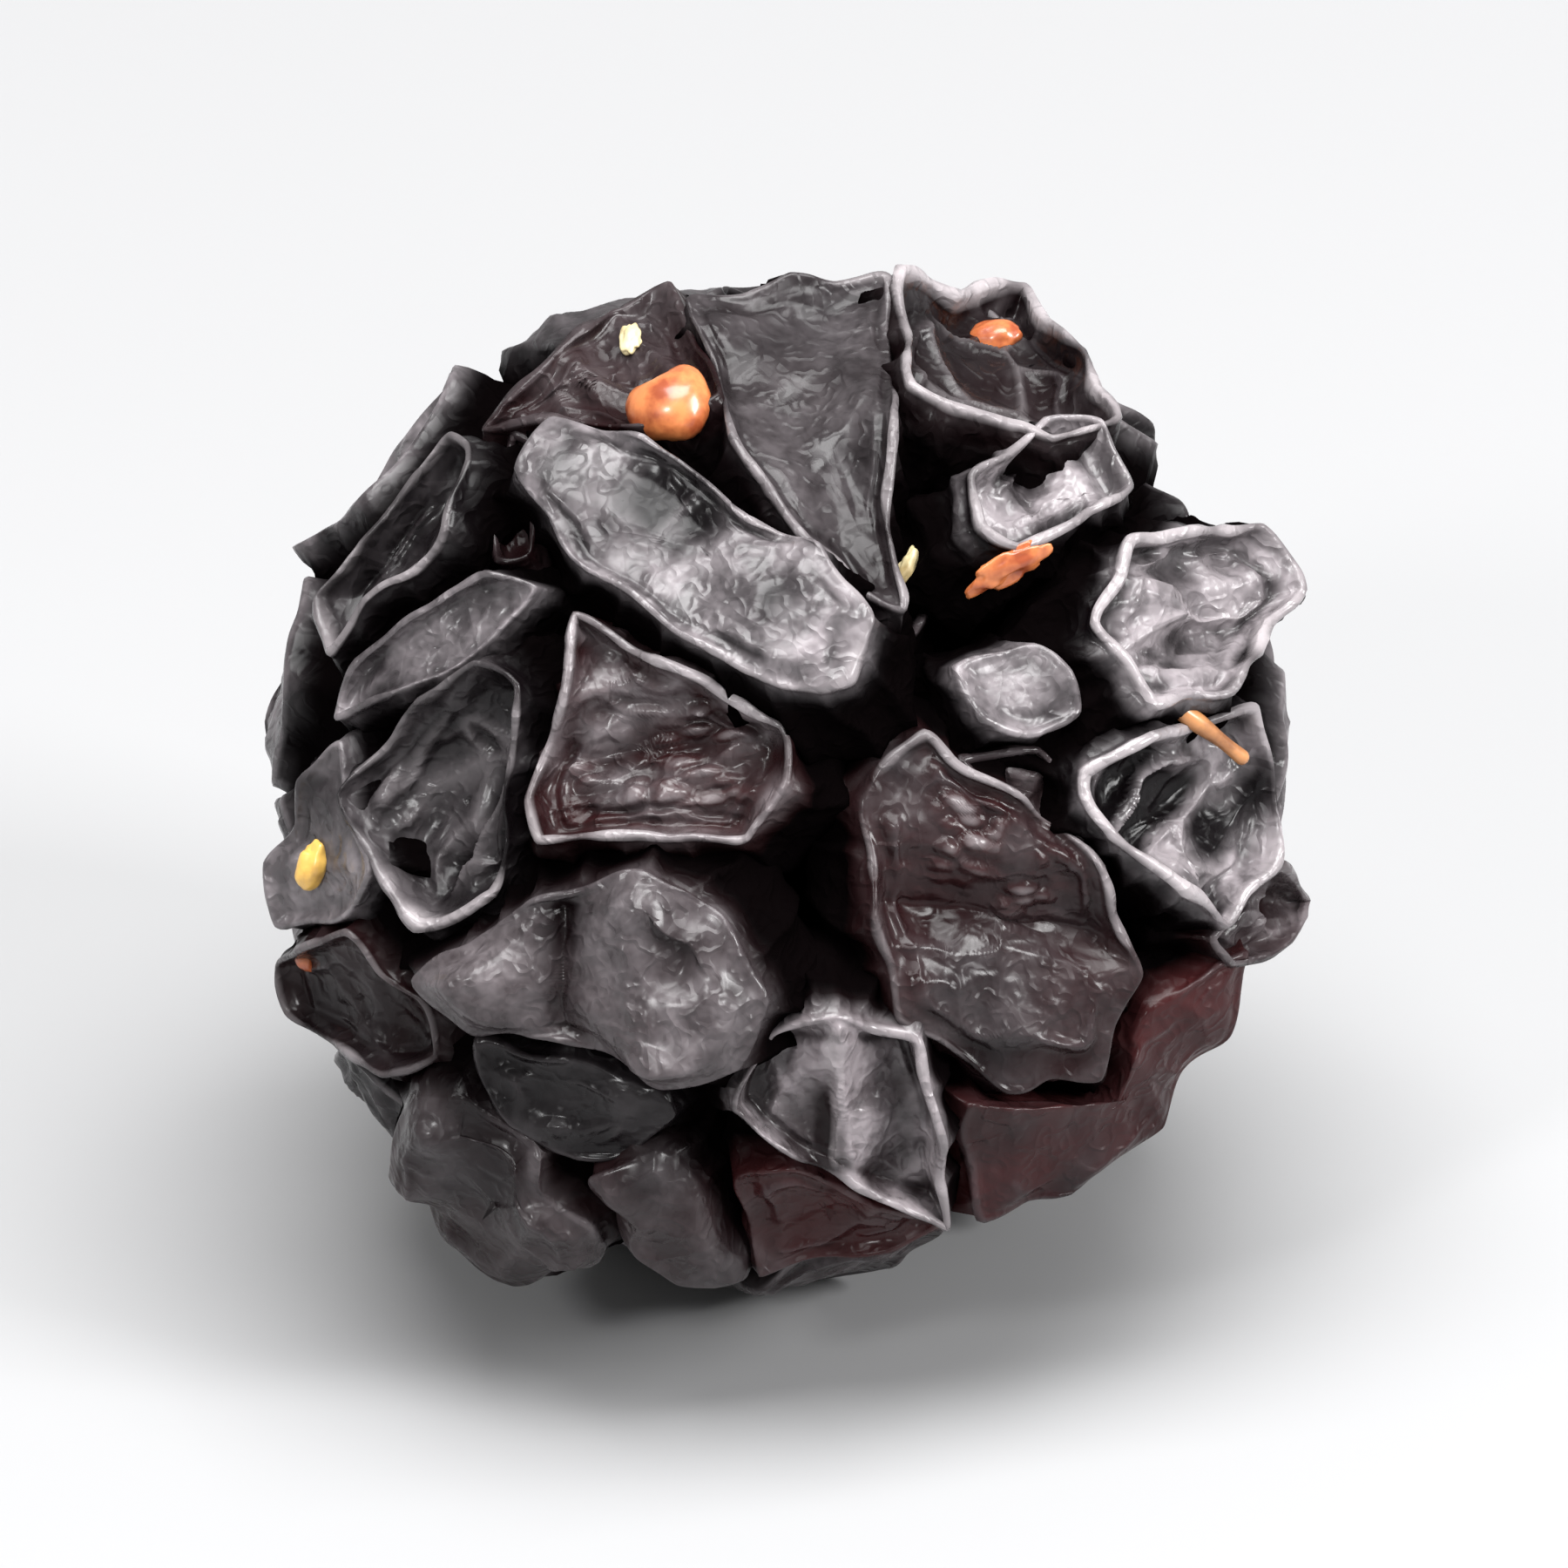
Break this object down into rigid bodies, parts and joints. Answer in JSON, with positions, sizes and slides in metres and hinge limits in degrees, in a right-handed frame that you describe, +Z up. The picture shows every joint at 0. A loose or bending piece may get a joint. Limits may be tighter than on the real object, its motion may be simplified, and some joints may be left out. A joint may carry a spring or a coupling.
{
  "type": "bramble berry",
  "caption": "Dried bramble berry: shrivelled, sharp-rimmed drupelets fused round a core, with a small hollow at the base end. Rests on its side.",
  "frame": {"origin": "on the resting surface, under the middle of the berry's bounding box", "axes": "+Z up; -Y toward the base end with the hollow, whose axis leans 27 degrees up from -Y; +X to the right seen from there"},
  "size_m": [0.0156, 0.0168, 0.0158],
  "materials": {
    "skin": "satin"
  },
  "bodies": {
    "root": {"berry": "skin"}
  },
  "joints": []
}
